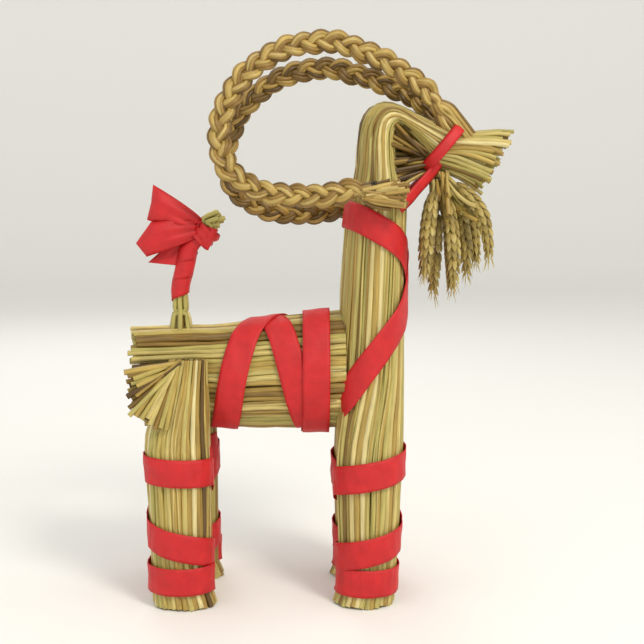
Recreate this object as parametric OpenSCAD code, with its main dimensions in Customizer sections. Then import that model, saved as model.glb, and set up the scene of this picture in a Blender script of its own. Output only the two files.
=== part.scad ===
// A yule goat made of straw: bundles of straw bound with wire, laced with red ribbon,
// with plaited horns, a beard of wheat ears and a bow on the tail.
// The goat looks along +X and stands on Z = 0; +Y is its left side. Millimetres.

/* [Straw bundles] */
// Half width of the neck and head, from side to side
neck_side = 19.4; // [17:0.1:20]
// Half width of the trunk, from side to side
trunk_side = 17; // [14:0.5:18]
// Distance of each foot's middle from the middle plane
foot_spread = 17.5; // [16:0.1:18]
// Half width of a foot's cut, from side to side
foot_side = 12; // [11:0.1:12.5]

/* [Horns] */
// Width of a horn's plait
plait_w = 9.4; // [8:0.1:10]
// Thickness of a horn's plait
plait_t = 7.6; // [6:0.1:8]
// How far a horn's end stands from the middle plane, on the neck
horn_end_side = 25.5; // [25.2:0.1:27]

/* [Beard] */
// Diameter of a wheat ear at its fullest
ear_d = 6.2; // [4:0.1:6.6]
// Length of a wheat ear, without its stem
ear_len = 34; // [26:1:38]
// Diameter of an ear's stem
stem_d = 2; // [1.2:0.1:2.2]

/* [Ribbon and wire] */
// Width of the wide ribbon
ribbon_w = 11.6; // [9:0.1:12]
// Width of the folded ribbon on the head
narrow_w = 5; // [3:0.1:6]
// Thickness of one layer of ribbon
ribbon_t = 0.6; // [0.4:0.05:0.7]
// Diameter of the binding wire
wire_d = 0.9; // [0.6:0.05:1.1]
// How deep the wires in the neck, trunk and ankles lie under the outer straws
wire_sink = 3; // [2:0.5:4]

/* [Hidden] */

straw = [0.80, 0.70, 0.42];
straw_dark = [0.66, 0.53, 0.26];
wheat = [0.83, 0.74, 0.48];
red = [0.82, 0.12, 0.13];
steel = [0.62, 0.62, 0.60];

round_sides = 20;    // sides of a bundle's section
gap = 0.2;           // air between a bundle and the ribbon on it
layer = ribbon_t + gap;

// Front bundle, from the foot up to the head:
// [height, middle in X, half depth in X, middle in Y, outer half width, inner half width]
front_rows = [
    [0, 17, 13.8, foot_spread, foot_side, foot_side],
    [7, 18.6, 12.9, 17, 10.8, 10.8],
    [15, 19, 12.8, 17, 10.8, 10.8],
    [49, 19.5, 14.4, 15.5, 12, 12],
    [66, 20, 14.8, 13, 12.5, 11.5],
    [80, 20.4, 15, 8, 14, 7.4],
    [95, 20.8, 14.9, 3, neck_side - 2, 2.5],
    [131, 21.8, 14.2, 0.7, neck_side, 0.5],
    [165, 23, 13.3, 0.7, neck_side - 0.4, 0.5],
    [173, 23.8, 12.6, 0.7, neck_side - 0.6, 0.5],
    [184, 23.2, 8.8, 0.7, neck_side - 1, 0.5]
];
neck_top = 184;

// Hind leg: [height, middle in X, half depth in X, middle in Y, half width]
hind_rows = [
    [0, -58.4, 14.6, foot_spread, foot_side],
    [7, -60, 13.4, 17, 10.8],
    [15, -60, 13.5, 17, 10.8],
    [58, -60.7, 14.2, 17, 11],
    [62, -61, 14.4, 17, 11]
];
// Haunch, fanned out from the tail's root over the flank down to the leg
haunch_rows = [
    [62.2, -61, 14.4, 17, 11],
    [68, -61.4, 13.9, 17, 10.2],
    [75, -63.4, 14.6, 17.4, 8],
    [86, -64.2, 15.4, 17.6, 6],
    [98, -61, 12.4, 17.6, 4.4],
    [105, -57, 8.4, 17.6, 3]
];
// Trunk: [X, middle height, half height, half width]
trunk_rows = [
    [-79, 88.6, 16.4, 10],
    [-50.4, 88.6, 16.4, 10.6],
    [-48, 95, 23, trunk_side - 2],
    [-40, 95.3, 23.3, trunk_side],
    [-20, 96.5, 24.8, trunk_side],
    [10, 98, 26.4, trunk_side]
];
rump_rows = [
    [-83, 111.6, 5.8, 15.5],
    [-66, 111.5, 6, 16.5],
    [-52.6, 111.6, 6, 16.5]
];

// Head: each section runs from an inner to an outer point of [X, height], then a half width.
// The straws rise behind, fold over the top and run down to the tie of the muzzle.
muzzle_low = [45.8, 183.2];
muzzle_high = [59.4, 199.9];
muzzle_side = 11;
head_rows = [
    [[31.8, neck_top + 0.2], [14.4, neck_top + 0.2], neck_side - 1],
    [[31.6, 193], [15, 196], neck_side - 2],
    [[31.6, 197.5], [16.5, 205.5], neck_side - 3],
    [[32.3, 200.8], [25, 212], neck_side - 5],
    [[34.6, 200.5], [34, 209.6], neck_side - 7],
    [[39.5, 196], [43.5, 206.2], 11.6],
    [muzzle_low, muzzle_high, muzzle_side]
];
muzzle_mid = (muzzle_low + muzzle_high) / 2;
muzzle_slope = atan2(muzzle_high[1] - muzzle_low[1], muzzle_high[0] - muzzle_low[0]) - 90;
muzzle_half = norm(muzzle_high - muzzle_low) / 2;

// Horn's middle line, from the muzzle over the back and down to the neck: [X, Y, Z]
horn_points = [
    [57, 8, 202], [46, 9, 213.5], [34, 10, 223], [17, 11.5, 232], [0, 13, 235.3],
    [-16, 14.5, 232], [-29, 16, 224], [-38, 17.5, 213], [-42.1, 19, 199],
    [-40.5, 20.5, 186], [-31, 22, 176.5], [-16, 23.5, 172.6], [0, 25, 172.8],
    [12, horn_end_side, 174.5], [22, horn_end_side, 175.6]
];
// How much lower the left horn hangs than the right one
left_drop = 7;
tuft_start = 23.2;
tuft_len = 13;

// Wheat ears: the ear's tip [X, Y, Z] and its root's [X, Y] under the muzzle
ear_rows = [
    [[43.8, -10, 138.7], [46.5, -4]],
    [[48.2, -0.6, 129.5], [48.6, 0]],
    [[55.8, -10.4, 134], [50, -4]],
    [[62.4, -1, 138], [52, 0]],
    [[70.3, -9.6, 145.4], [53.4, -4]],
    [[45, 9.4, 137], [46.5, 4]],
    [[57.5, 9.8, 131], [50, 4]],
    [[68, 9, 143], [53.4, 4]]
];
root_z = 181;

// Tail: [X, height, half thickness]; its round root is centred on the flexing point.
tail_flex_x = -61;
tail_flex_z = 124;
tail_root = 5.6;
tail_rows = [
    [-61.1, 133, 4], [-59.2, 142, 3.5], [-56.9, 149.5, 3.2],
    [-53.6, 157.4, 3], [-47.4, 162.4, 3.1], [-39, 164, 4]
];

// ---- Skins and sections ----

// A closed skin over rings of points that have the same count; loop joins the last to the first.
// strip says that each ring is a thin strip: an inner face's points, then an outer face's backwards.
module skin(rings, loop = false, strip = false) {
    n = len(rings[0]);
    count = len(rings);
    sides = [
        for (r = [0 : loop ? count - 1 : count - 2], i = [0 : n - 1])
        let (a = r * n, b = ((r + 1) % count) * n, j = (i + 1) % n)
        each [[a + i, b + i, b + j], [a + i, b + j, a + j]]
    ];
    end = (count - 1) * n;
    caps = loop ? [] : strip ? [
        for (i = [0 : n / 2 - 2])
        let (a = i, b = i + 1, c = n - 2 - i, d = n - 1 - i)
        each [[a, b, c], [a, c, d], [end + c, end + b, end + a], [end + d, end + c, end + a]]
    ] : [
        [for (i = [0 : n - 1]) i],
        [for (i = [n - 1 : -1 : 0]) end + i]
    ];
    polyhedron(points = [for (ring = rings) each ring], faces = concat(sides, caps));
}

// An ellipse of points about c with half axes m and s.
function oval(c, m, s, n = round_sides) =
    [for (i = [0 : n - 1]) c + m * cos(360 * i / n) + s * sin(360 * i / n)];

// A section across a run in the XZ plane that heads at the given slope.
function across(x, y, z, slope, half, side, n = round_sides) =
    oval([x, y, z], half * [sin(slope), 0, -cos(slope)], [0, side, 0], n);

// A section from an inner to an outer point of the XZ plane.
function span_ring(inner, outer, side) =
    let (mid = (inner + outer) / 2, half = (inner - outer) / 2)
    oval([mid[0], 0, mid[1]], [half[0], 0, half[1]], [0, side, 0]);

// A row of a table of rows, at a place between its first column's values.
function row_at(rows, at) =
    [for (k = [1 : len(rows[0]) - 1]) lookup(at, [for (r = rows) [r[0], r[k]]])];

// A smooth line through points, with a number of steps from each to the next.
function smooth_line(p, steps) = [
    for (i = [0 : len(p) - 2], k = [0 : steps - 1])
    let (
        t = k / steps,
        a = p[max(i - 1, 0)], b = p[i], c = p[i + 1], d = p[min(i + 2, len(p) - 1)]
    )
    ((2 * b) + (c - a) * t + (2 * a - 5 * b + 4 * c - d) * t * t
        + (3 * b - a - 3 * c + d) * t * t * t) / 2,
    p[len(p) - 1]
];

function slope_at(line, i) =
    let (a = line[max(i - 1, 0)], b = line[min(i + 1, len(line) - 1)])
    atan2(b[2] - a[2], b[0] - a[0]);

// The four corners of a ribbon on a bundle, seen across its run at an angle round the bundle.
function ribbon_ring(c, slope, half, side, angle, width, lift) =
    let (
        along = [cos(slope), 0, sin(slope)],
        m = [sin(slope), 0, -cos(slope)],
        s = [0, 1, 0],
        p = c + m * half * cos(angle) + s * side * sin(angle),
        n = m * cos(angle) / half + s * sin(angle) / side,
        out = n / norm(n),
        low = gap + lift,
        high = gap + lift + ribbon_t,
        w = along * width / 2
    )
    [p + out * low - w, p + out * low + w, p + out * high + w, p + out * high - w];

// A point over a bundle at an angle round it. Upright rows are [Z, X, half X, Y, half Y] and
// lengthwise rows [X, Z, half Z, half Y]; part is how far two bundles side by side stand apart.
function over_bundle(rows, upright, at, angle, lift) =
    let (
        r = row_at(rows, at),
        part = len(r) > 4 ? r[4] * sign(round(sin(angle) * 1000)) : 0,
        c = upright ? [r[0], r[2] + part, at] : [at, 0, r[0]],
        m = upright ? [r[1], 0, 0] : [0, 0, -r[1]],
        s = [0, upright ? r[3] : r[2], 0],
        n = m * cos(angle) / (m * m) + s * sin(angle) / (s * s)
    )
    c + m * cos(angle) + s * sin(angle) + n / norm(n) * lift;

// A ribbon's section on a bundle, which follows the bundle's taper across the ribbon's width.
function wrap_ring(rows, upright, at, angle, width, lift) = [
    for (w = [-0.5 : 0.25 : 0.5]) over_bundle(rows, upright, at + w * width, angle, gap + lift),
    for (w = [0.5 : -0.25 : -0.5]) over_bundle(rows, upright, at + w * width, angle, gap + lift + ribbon_t)
];

// A wire bound twice round a bundle, bitten into its straws.
module binding(c, slope, half, side, pitch = 1.4) {
    turns = 2;
    step = 20;
    along = [cos(slope), 0, sin(slope)];
    m = [sin(slope), 0, -cos(slope)];
    rings = [
        for (angle = [0 : step : 360 * turns])
        let (
            n = m * cos(angle) / half + [0, 1, 0] * sin(angle) / side,
            out = n / norm(n),
            p = c + m * half * cos(angle) + [0, side * sin(angle), 0]
                + along * (angle / 360 - turns / 2) * pitch - out * wire_d / 4
        )
        oval(p, along * wire_d / 2, out * wire_d / 2, 6)
    ];
    color(steel) skin(rings);
}

// ---- Front bundle, head and snout ----

module front_bundle() {
    rings = [
        for (r = front_rows)
        [for (i = [0 : round_sides - 1])
            let (a = 360 * i / round_sides)
            [r[1] + r[2] * cos(a), r[3] + (sin(a) > 0 ? r[4] : r[5]) * sin(a), r[0]]]
    ];
    color(straw) skin(rings);
}
module front_bundle_left() { front_bundle(); }
module front_bundle_right() { mirror([0, 1, 0]) front_bundle(); }

module head_fold() {
    color(straw) skin([for (r = head_rows) span_ring(r[0], r[1], r[2])]);
}

module snout_fan() {
    start_low = [51, 188];
    start_high = [59.9, 199];
    end_low = [70.5, 174];
    end_high = [83, 200.6];
    rings = [
        for (t = [0 : 0.25 : 1])
        let (bow_out = 2.4 * sin(180 * t))
        span_ring(
            start_low + (end_low - start_low) * t + [0, bow_out],
            start_high + (end_high - start_high) * t + [0, bow_out],
            9.5 + 4 * t
        )
    ];
    color(straw) skin(rings);
}

// ---- Trunk and hind legs ----

module lengthwise(rows) {
    color(straw) skin([for (r = rows) across(r[0], 0, r[1], 0, r[2], r[3])]);
}
module trunk_bundle() { lengthwise(trunk_rows); }
module rump_layer() { lengthwise(rump_rows); }

module upright(rows) {
    color(straw) skin([for (r = rows) across(r[1], r[3], r[0], 90, r[2], r[4])]);
}
module haunch_left() { upright(haunch_rows); }
module haunch_right() { mirror([0, 1, 0]) upright(haunch_rows); }
module hind_leg_left() { upright(hind_rows); }
module hind_leg_right() { mirror([0, 1, 0]) upright(hind_rows); }

// ---- Horns ----

// A horn on the right side, or with a drop the one that hangs lower.
function horn_line(drop) =
    let (last = len(horn_points) - 1)
    smooth_line([
        for (i = [0 : last])
        horn_points[i] - [0, 0, drop * min(1, i / 3, (last - i) / 3 + 0.5)]
    ], 4);

module horn_plait(drop) {
    line = horn_line(drop);
    rings = [
        for (i = [0 : len(line) - 1])
        let (p = line[i])
        across(p[0], p[1], p[2], slope_at(line, i), plait_w / 2, plait_t / 2, 10)
    ];
    color(straw_dark) skin(rings);
}
module horn_plait_left() { horn_plait(left_drop); }
module horn_plait_right() { mirror([0, 1, 0]) horn_plait(0); }

module horn_tuft(drop) {
    rings = [
        for (t = [0 : 0.25 : 1])
        across(tuft_start + tuft_len * t, horn_end_side, 175.6 - drop / 2 + 0.6 * t, 2,
            3.8 + 2 * t, 3.2 + 0.6 * t, 12)
    ];
    color(straw_dark) skin(rings);
}
module horn_tuft_left() { horn_tuft(left_drop); }
module horn_tuft_right() { mirror([0, 1, 0]) horn_tuft(0); }

module horn_wire(drop) {
    end = horn_points[len(horn_points) - 1] - [1.5, 0, drop / 2];
    binding(end, 0, plait_w / 2 - 2, plait_t / 2 - 1.6, 1.2);
}
module horn_wire_left() { horn_wire(left_drop); }
module horn_wire_right() { mirror([0, 1, 0]) horn_wire(0); }

// ---- Beard of wheat ears ----

// The stem leaves the muzzle forwards and bends over until the ear hangs.
module wheat_ear(tip, root) {
    steps = 16;
    p0 = [root[0], root[1], root_z];
    p1 = p0 + [3, 0, -6];
    p2 = tip + [0, 0, 30];
    line = [
        for (k = [0 : steps])
        let (t = k / steps, u = 1 - t)
        u * u * u * p0 + 3 * u * u * t * p1 + 3 * u * t * t * p2 + t * t * t * tip
    ];
    rings = [
        for (k = [0 : steps])
        let (
            p = line[k],
            up = (norm(p - tip)) / ear_len,
            swell = up < 1 ? sqrt(max(0, sin(180 * pow(up, 0.62)))) : 0,
            r = max(stem_d / 2 * (k == steps ? 0.7 : 1), ear_d / 2 * swell)
        )
        across(p[0], p[1], p[2], slope_at(line, k), r, r, 10)
    ];
    color(wheat) skin(rings);
}
module wheat_ear_1() { wheat_ear(ear_rows[0][0], ear_rows[0][1]); }
module wheat_ear_2() { wheat_ear(ear_rows[1][0], ear_rows[1][1]); }
module wheat_ear_3() { wheat_ear(ear_rows[2][0], ear_rows[2][1]); }
module wheat_ear_4() { wheat_ear(ear_rows[3][0], ear_rows[3][1]); }
module wheat_ear_5() { wheat_ear(ear_rows[4][0], ear_rows[4][1]); }
module wheat_ear_6() { wheat_ear(ear_rows[5][0], ear_rows[5][1]); }
module wheat_ear_7() { wheat_ear(ear_rows[6][0], ear_rows[6][1]); }
module wheat_ear_8() { wheat_ear(ear_rows[7][0], ear_rows[7][1]); }
module beard_wire() { binding([50.2, 0, root_z - 1.6], 90, 4.6, 4.8, 1); }

// ---- Tail and bow ----

module tail_straws() {
    root = [
        for (a = [-70, -45, -15, 20])
        across(tail_flex_x, 0, tail_flex_z + tail_root * sin(a), 90,
            tail_root * cos(a), tail_root * cos(a), 14)
    ];
    line = [for (r = tail_rows) [r[0], 0, r[1]]];
    stem = [
        for (i = [0 : len(line) - 1])
        let (p = line[i], r = tail_rows[i][2])
        across(p[0], 0, p[2], i == 0 ? 90 : slope_at(line, i), r, r, 14)
    ];
    color(straw) skin(concat(root, stem));
}

// The tail's middle, slope and thickness at a height.
function tail_at(z) =
    let (
        rows = [for (r = tail_rows) [r[1], r[0], r[2]]],
        here = row_at(rows, z),
        above = row_at(rows, z + 2),
        below = row_at(rows, z - 2)
    )
    [[here[0], 0, z], atan2(4, above[0] - below[0]), here[1]];

module tail_ribbon() {
    rings = [
        for (angle = [0 : 20 : 860])
        let (t = tail_at(136 + 12.6 * angle / 860), lift = angle / 860 * 1.1)
        ribbon_ring(t[0], t[1], t[2] + 0.8, t[2] + 0.8, angle, ribbon_w - 1, lift)
    ];
    color(red) skin(rings);
}
module tail_wire() {
    t = tail_at(134.5);
    binding(t[0], 90, t[2] - 0.25, t[2] - 0.25, 1.1);
}

module bow_knot() {
    knot_t = 1.6;
    t = tail_at(157.6);
    rings = [
        for (angle = [0 : 24 : 336])
        let (
            inner = ribbon_ring(t[0], t[1], t[2], t[2], angle, 5.4, 0.8),
            outer = ribbon_ring(t[0], t[1], t[2], t[2], angle, 4.8, 0.8 + knot_t)
        )
        [inner[0], inner[1], outer[2], outer[3]]
    ];
    color(red) skin(rings, loop = true);
}

// A looped end of the bow: rows of [X, height, half height, half thickness]
module bow_leaf(rows, slope) {
    color(red) skin([for (r = rows) across(r[0], -2, r[1], slope, r[2], r[3], 12)]);
}
module bow_loop_upper() {
    bow_leaf([[-59.8, 161.6, 2.2, 1.8], [-66, 165.4, 6, 3.4], [-71, 168.4, 7, 3], [-74.2, 169.4, 6.3, 1.8]], 180);
}
module bow_loop_lower() {
    bow_leaf([[-59.8, 157, 2, 1.8], [-66, 153.2, 6, 3.4], [-71.5, 151, 7.8, 2.8], [-79.8, 151, 1.2, 0.8]], 180);
}
module bow_end() {
    bow_leaf([[-47.2, 154.6, 2, 1.8], [-45.6, 154, 3.2, 2.2], [-44.2, 154, 3.6, 1.2]], 0);
}

// ---- Ribbons on the neck, trunk and legs ----

neck_rows = [for (r = front_rows) [r[0], r[1], r[2], 0, r[4], r[3]]];
// A ribbon wound round the whole neck; path rows are [angle, height].
module neck_wrap(path, lift) {
    rings = [
        for (angle = [path[0][0] : 12 : path[len(path) - 1][0]])
        wrap_ring(neck_rows, true, lookup(angle, path), angle, ribbon_w * 1.25, lift)
    ];
    color(red) skin(rings, strip = true);
}
neck_path = [[185, 166], [240, 163], [300, 155], [340, 148], [360, 138], [380, 127], [430, 112], [476, 96], [488, 91]];
module neck_lacing_left() { neck_wrap(neck_path, 0); }
module neck_lacing_right() { mirror([0, 1, 0]) neck_wrap(neck_path, layer); }

// A ribbon wound round the trunk; path rows are [angle, X], from the belly over the back.
module trunk_wrap(path, lift) {
    rings = [
        for (angle = [path[0][0] : 12 : path[len(path) - 1][0]])
        wrap_ring(trunk_rows, false, lookup(angle, path), angle, ribbon_w, lift)
    ];
    color(red) skin(rings, strip = true);
}
trunk_path = [[12, -43], [90, -38], [150, -31], [180, -24], [210, -19], [270, -12], [348, -4]];
module trunk_lacing_left() { trunk_wrap(trunk_path, 0); }
module trunk_lacing_right() { mirror([0, 1, 0]) trunk_wrap(trunk_path, layer); }

module girth_ribbon() {
    rings = [for (angle = [0 : 12 : 348]) wrap_ring(trunk_rows, false, -3, angle, ribbon_w + 1, 2 * layer)];
    color(red) skin(rings, loop = true);
}
module trunk_wire() {
    x = -3;
    r = row_at(trunk_rows, x);
    binding([x, 0, r[0]], 0, r[1] - wire_sink, r[2] - wire_sink);
}
module neck_wire() {
    z = 158;
    r = row_at(front_rows, z);
    binding([r[0], 0, z], 90, r[1] - wire_sink, r[2] + r[3] - wire_sink);
}

// A ribbon wound down a leg; each turn lies a layer further out where it crosses the one before.
module leg_wrap(rows, path, lifts) {
    rings = [
        for (angle = [path[0][0] : 15 : path[len(path) - 1][0]])
        wrap_ring(rows, true, lookup(angle, path), angle, ribbon_w, lookup(angle, lifts))
    ];
    color(red) skin(rings, strip = true);
}
// Paths of [angle, height]; on a front leg the angle rises from the ankle to the knee.
front_wrap_path = [[0, 11.4], [180, 11.2], [360, 11], [540, 20], [720, 29.4], [900, 52.2], [1080, 60.9], [1128, 62.4]];
hind_wrap_path = [[0, 61.5], [180, 59.6], [360, 57.4], [540, 32.8], [720, 22], [900, 12.6], [1080, 12.4]];
front_lifts = [[0, 0], [300, 0], [420, layer], [1128, layer]];
hind_lifts = [[0, 0], [700, 0], [860, layer], [1080, layer]];
front_side_rows = [for (r = front_rows) [r[0], r[1], r[2], r[3], r[4]]];
module leg_ribbon_front_left() { mirror([0, 1, 0]) leg_ribbon_front_right(); }
module leg_ribbon_front_right() {
    rows = [for (r = front_side_rows) [r[0], r[1], r[2], -r[3], r[4]]];
    leg_wrap(rows, front_wrap_path, front_lifts);
}
module leg_ribbon_hind_left() { mirror([0, 1, 0]) leg_ribbon_hind_right(); }
module leg_ribbon_hind_right() {
    rows = [for (r = concat(hind_rows, haunch_rows)) [r[0], r[1], r[2], -r[3], r[4]]];
    leg_wrap(rows, hind_wrap_path, hind_lifts);
}

module ankle_wire(rows, side) {
    z = 19;
    r = row_at(rows, z);
    binding([r[0], side * r[2], z], 90, r[1] - wire_sink, r[3] - wire_sink);
}
module ankle_wire_front_left() { ankle_wire(front_side_rows, 1); }
module ankle_wire_front_right() { ankle_wire(front_side_rows, -1); }
module ankle_wire_hind_left() { ankle_wire(hind_rows, 1); }
module ankle_wire_hind_right() { ankle_wire(hind_rows, -1); }

// ---- Ribbon and wire on the head ----

// The middle of the muzzle, a distance back from its tie.
function muzzle_back(d) = [
    muzzle_mid[0] - d * cos(muzzle_slope), 0, muzzle_mid[1] - d * sin(muzzle_slope)
];
module muzzle_ribbon() {
    rings = [
        for (angle = [0 : 15 : 345])
        ribbon_ring(muzzle_back(2.7), muzzle_slope, muzzle_half + 0.3, muzzle_side + 0.5,
            angle, narrow_w, 0.2)
    ];
    color(red) skin(rings, loop = true);
}
module muzzle_wire() {
    binding(muzzle_back(2.7), muzzle_slope, muzzle_half - 0.1, muzzle_side + 0.1, 1.2);
}

module throat_ribbon() {
    low = [37.6, 14.4, 172.5];
    high = [44.6, 10.2, 180];
    slope = atan2(high[2] - low[2], high[0] - low[0]);
    rings = [
        for (p = [low, high])
        across(p[0], p[1], p[2], slope, narrow_w / 2, ribbon_t, 8)
    ];
    color(red) skin(rings);
}
module throat_ribbon_left() { throat_ribbon(); }
module throat_ribbon_right() { mirror([0, 1, 0]) throat_ribbon(); }

front_bundle_left();
front_bundle_right();
head_fold();
snout_fan();
trunk_bundle();
rump_layer();
haunch_left();
haunch_right();
hind_leg_left();
hind_leg_right();
horn_plait_left();
horn_plait_right();
horn_tuft_left();
horn_tuft_right();
wheat_ear_1();
wheat_ear_2();
wheat_ear_3();
wheat_ear_4();
wheat_ear_5();
wheat_ear_6();
wheat_ear_7();
wheat_ear_8();
tail_straws();
muzzle_wire();
neck_wire();
trunk_wire();
beard_wire();
tail_wire();
horn_wire_left();
horn_wire_right();
ankle_wire_front_left();
ankle_wire_front_right();
ankle_wire_hind_left();
ankle_wire_hind_right();
muzzle_ribbon();
throat_ribbon_left();
throat_ribbon_right();
neck_lacing_left();
neck_lacing_right();
girth_ribbon();
trunk_lacing_left();
trunk_lacing_right();
leg_ribbon_front_left();
leg_ribbon_front_right();
leg_ribbon_hind_left();
leg_ribbon_hind_right();
tail_ribbon();
bow_knot();
bow_loop_upper();
bow_loop_lower();
bow_end();
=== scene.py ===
"""A straw yule goat: bundles of straw bound with wire, laced with red ribbon, on a pale floor."""
import math
import random

import bmesh
import bpy
from mathutils import Matrix, Vector
from mathutils.bvhtree import BVHTree


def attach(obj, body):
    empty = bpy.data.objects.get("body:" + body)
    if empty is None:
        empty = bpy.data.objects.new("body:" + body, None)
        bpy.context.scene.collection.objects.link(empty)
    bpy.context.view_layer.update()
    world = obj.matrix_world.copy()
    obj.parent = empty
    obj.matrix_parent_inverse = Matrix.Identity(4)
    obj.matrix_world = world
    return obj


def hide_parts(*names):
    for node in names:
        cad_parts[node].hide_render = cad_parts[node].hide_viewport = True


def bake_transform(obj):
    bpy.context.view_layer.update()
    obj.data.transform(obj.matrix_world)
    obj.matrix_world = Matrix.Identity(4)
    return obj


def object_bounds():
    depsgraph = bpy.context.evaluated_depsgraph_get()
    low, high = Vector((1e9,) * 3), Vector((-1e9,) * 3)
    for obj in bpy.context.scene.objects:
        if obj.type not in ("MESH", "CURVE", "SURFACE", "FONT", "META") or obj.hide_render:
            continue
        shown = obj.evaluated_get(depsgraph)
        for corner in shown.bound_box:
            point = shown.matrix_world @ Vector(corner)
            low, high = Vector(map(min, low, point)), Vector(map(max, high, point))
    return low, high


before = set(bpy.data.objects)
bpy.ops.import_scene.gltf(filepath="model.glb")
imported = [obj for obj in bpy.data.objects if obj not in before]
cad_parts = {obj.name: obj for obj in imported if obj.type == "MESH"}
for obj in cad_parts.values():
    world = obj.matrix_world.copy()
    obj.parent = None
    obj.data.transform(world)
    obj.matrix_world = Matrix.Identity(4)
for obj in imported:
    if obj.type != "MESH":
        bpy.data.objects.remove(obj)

cad_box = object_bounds()
MM = 0.001


# ---- The stage: a pale floor, soft light and a camera beside the goat ----
# A table-top studio: a sheet of off-white paper that curves up behind the goat, a big soft lamp
# on the looking side, weaker ones beside and behind it and an even pale surround.

def linear(colour):
    """An sRGB hex colour as linear RGBA."""
    parts = [int(colour[i:i + 2], 16) / 255 for i in (1, 3, 5)]
    return [c / 12.92 if c <= 0.04045 else ((c + 0.055) / 1.055) ** 2.4 for c in parts] + [1.0]


def add(tree, kind, links=None, **settings):
    """Adds a shader node; links maps its inputs to values or to other nodes' outputs."""
    made = tree.nodes.new("ShaderNode" + kind)
    for name, value in settings.items():
        setattr(made, name, value)
    for name, value in (links or {}).items():
        if isinstance(value, bpy.types.NodeSocket):
            tree.links.new(value, made.inputs[name])
        else:
            made.inputs[name].default_value = value
    return made


def maths(tree, operation, *values):
    """The result of a maths node."""
    return add(tree, "Math", dict(enumerate(values)), operation=operation).outputs["Value"]


def new_material(name):
    """A material and its empty tree."""
    material = bpy.data.materials.new(name)
    material.use_nodes = True
    material.node_tree.nodes.clear()
    return material, material.node_tree


def with_surface(material, settings):
    """The material, given a surface with these settings."""
    tree = material.node_tree
    output = tree.nodes.new("ShaderNodeOutputMaterial")
    shader = add(tree, "BsdfPrincipled", settings)
    tree.links.new(shader.outputs["BSDF"], output.inputs["Surface"])
    return material


def floor_paper():
    """Uncoated off-white paper, matt."""
    material, tree = new_material("off_white_paper")
    grain = add(tree, "TexNoise", {"Scale": 900.0, "Detail": 3.0})
    bump = add(tree, "Bump", {"Height": grain.outputs["Fac"], "Strength": 0.04, "Distance": 0.0002})
    return with_surface(material, {
        "Base Color": linear("#F6F5F1"), "Roughness": 0.9, "Normal": bump.outputs["Normal"]})


def make_stage():
    """Lays the paper in a curve, hangs the lamps and sets the camera, all in metres."""
    back, curve = 2.0, 1.5
    floor_mesh = bpy.data.meshes.new("floor")
    bm = bmesh.new()
    bmesh.ops.create_grid(bm, x_segments=1, y_segments=1, size=5.0)
    for v in bm.verts:
        v.co.y = min(v.co.y, back)
    behind = [e for e in bm.edges if all(v.co.y > back - 0.1 for v in e.verts)]
    bmesh.ops.spin(bm, geom=behind, cent=(0, back, curve), axis=(1, 0, 0), angle=math.pi / 2, steps=24)
    wall = [e for e in bm.edges if all(v.co.y > back + curve - 0.01 for v in e.verts)]
    grown = bmesh.ops.extrude_edge_only(bm, edges=wall)["geom"]
    for v in (g for g in grown if isinstance(g, bmesh.types.BMVert)):
        v.co.z += 3.0
    bm.to_mesh(floor_mesh)
    bm.free()
    floor_mesh.polygons.foreach_set("use_smooth", [True] * len(floor_mesh.polygons))
    floor_mesh.materials.append(floor_paper())
    floor = bpy.data.objects.new("floor", floor_mesh)
    floor.location.z = cad_box[0][2]
    bpy.context.collection.objects.link(floor)

    world = bpy.data.worlds.new("studio")
    bpy.context.scene.world = world
    world.use_nodes = True
    world.node_tree.nodes["Background"].inputs["Color"].default_value = linear("#EFEEEA")
    world.node_tree.nodes["Background"].inputs["Strength"].default_value = 1.0

    middle = Vector((0, 0, 0.12))
    lamps = {
        "key_lamp": ((0.5, -0.7, 0.9), 0.35, 6.5, "#FFF8EE"),
        "fill_lamp": ((-0.9, -0.6, 0.4), 0.8, 0.8, "#F2F6FF"),
        "back_lamp": ((-0.3, 0.9, 0.8), 0.6, 2.0, "#FFFFFF"),
    }
    for name, (place, size, watts, colour) in lamps.items():
        lamp = bpy.data.lights.new(name, "AREA")
        lamp.shape, lamp.size, lamp.energy = "DISK", size, watts
        lamp.color = linear(colour)[:3]
        holder = bpy.data.objects.new(name, lamp)
        holder.location = place
        holder.rotation_euler = (middle - Vector(place)).to_track_quat("-Z", "Y").to_euler()
        bpy.context.collection.objects.link(holder)

    eye = bpy.data.cameras.new("camera")
    eye.sensor_width, eye.lens = 36.0, 57.0
    eye.clip_start, eye.clip_end = 0.01, 20.0
    camera = bpy.data.objects.new("camera", eye)
    camera.location = (-0.010, -0.44, 0.163)
    aim = Vector((0.0, 0.0, 0.1185))
    camera.rotation_euler = (aim - camera.location).to_track_quat("-Z", "Y").to_euler()
    bpy.context.collection.objects.link(camera)
    bpy.context.scene.camera = camera


make_stage()
bpy.context.scene.view_settings.view_transform = "Standard"


# ---- Straw: the one stuff that most of the goat is made of ----
# Cleaned rye or wheat stalks about 3 mm thick: hollow, ribbed lengthwise, waxy outside, and each
# of its own shade, from pale gold to olive and brown. They are cut square, so the ends are open.

STRAW_R = 1.5 * MM
SIDES = 8
dice = random.Random(7)


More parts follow.
